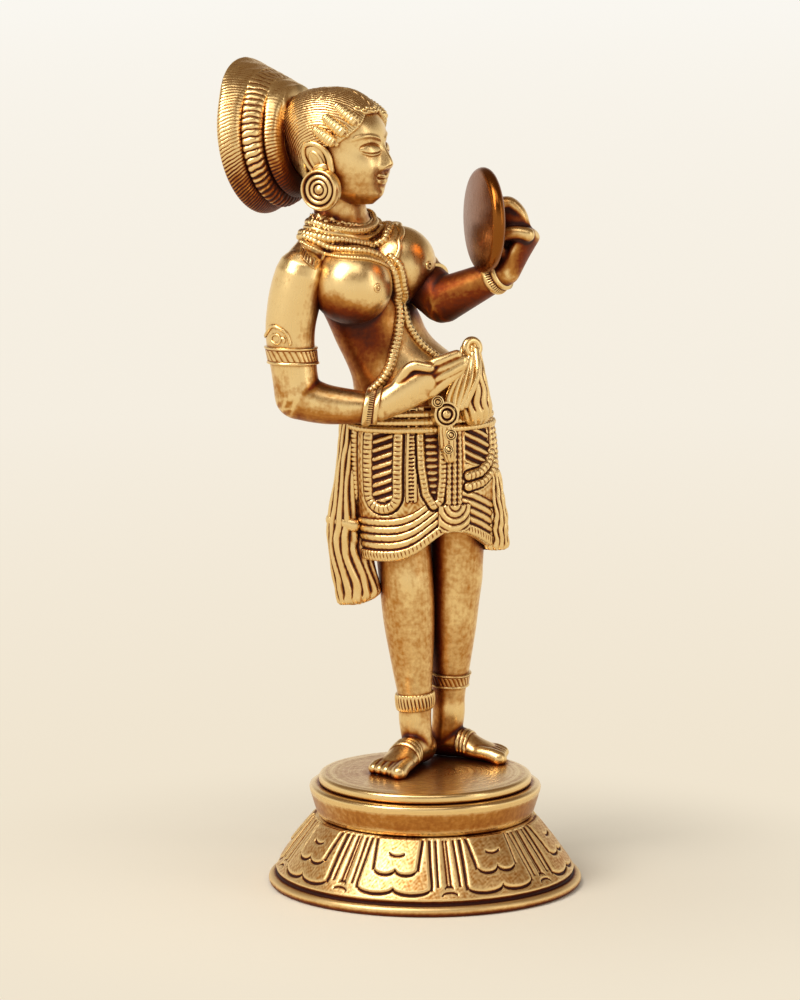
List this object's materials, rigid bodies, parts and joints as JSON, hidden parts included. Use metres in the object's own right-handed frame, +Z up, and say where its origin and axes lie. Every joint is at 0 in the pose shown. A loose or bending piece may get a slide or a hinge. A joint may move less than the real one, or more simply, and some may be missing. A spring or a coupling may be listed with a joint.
{
  "type": "apsara figurine",
  "caption": "Cast brass temple dancer holding a hand mirror, standing on a turned drum and a flared lotus pedestal.",
  "frame": {"origin": "middle of the outline's box, on the surface that the pedestal rests on", "axes": "+Z up along the pedestal; the legs face -Y; +X is on the dancer's left"},
  "size_m": [0.088, 0.0762, 0.1991],
  "materials": {
    "cast_brass": "antique satin with dark patina in the recesses",
    "turned_brass": "lathe turned, satin, lacquered",
    "mirror_brass": "polished",
    "fixing_steel": "plain zinc plated"
  },
  "bodies": {
    "root": {"lotus_base": "cast_brass", "plinth_drum": "turned_brass", "foot_plate": "turned_brass", "fixing_stud": "fixing_steel", "fixing_washer": "fixing_steel", "fixing_nut": "fixing_steel", "right_leg": "cast_brass", "left_leg": "cast_brass", "skirt": "cast_brass", "torso": "cast_brass", "head": "cast_brass", "right_ear_disc": "cast_brass", "left_ear_disc": "cast_brass", "bun_disc_outer": "cast_brass", "bun_disc_middle": "cast_brass", "bun_disc_inner": "cast_brass", "mirror": "mirror_brass", "right_arm": "cast_brass", "left_arm": "cast_brass", "hip_knot": "cast_brass", "right_sash": "cast_brass", "left_sash": "cast_brass", "girdle": "cast_brass", "hip_rosette": "cast_brass", "collar": "cast_brass", "bead_chain": "cast_brass", "right_armlet": "cast_brass", "left_armlet": "cast_brass", "right_bangle": "cast_brass", "left_bangle": "cast_brass", "right_anklet": "cast_brass", "left_anklet": "cast_brass"}
  },
  "joints": []
}
